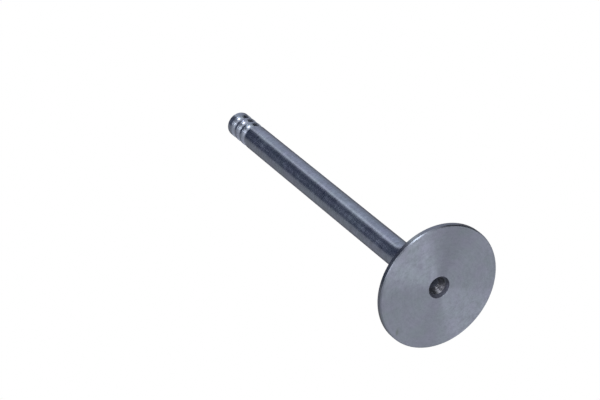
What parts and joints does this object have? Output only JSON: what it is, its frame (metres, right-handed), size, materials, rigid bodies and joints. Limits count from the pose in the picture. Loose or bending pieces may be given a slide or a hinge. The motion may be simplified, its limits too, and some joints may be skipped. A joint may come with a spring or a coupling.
{
  "type": "engine valve",
  "caption": "Solid poppet valve: flat round head with a conical seat, swept neck, ground stem and round-bottomed keeper grooves beside the tip.",
  "frame": {"origin": "centre of the head's flat face, which the valve stands on", "axes": "+Z from the head along the stem to the tip; X and Y are alike, because the valve is round"},
  "size_m": [0.037, 0.037, 0.12],
  "materials": {
    "valve_steel": "turned face, ground stem, turned keeper grooves"
  },
  "bodies": {
    "root": {"valve": "valve_steel"}
  },
  "joints": []
}
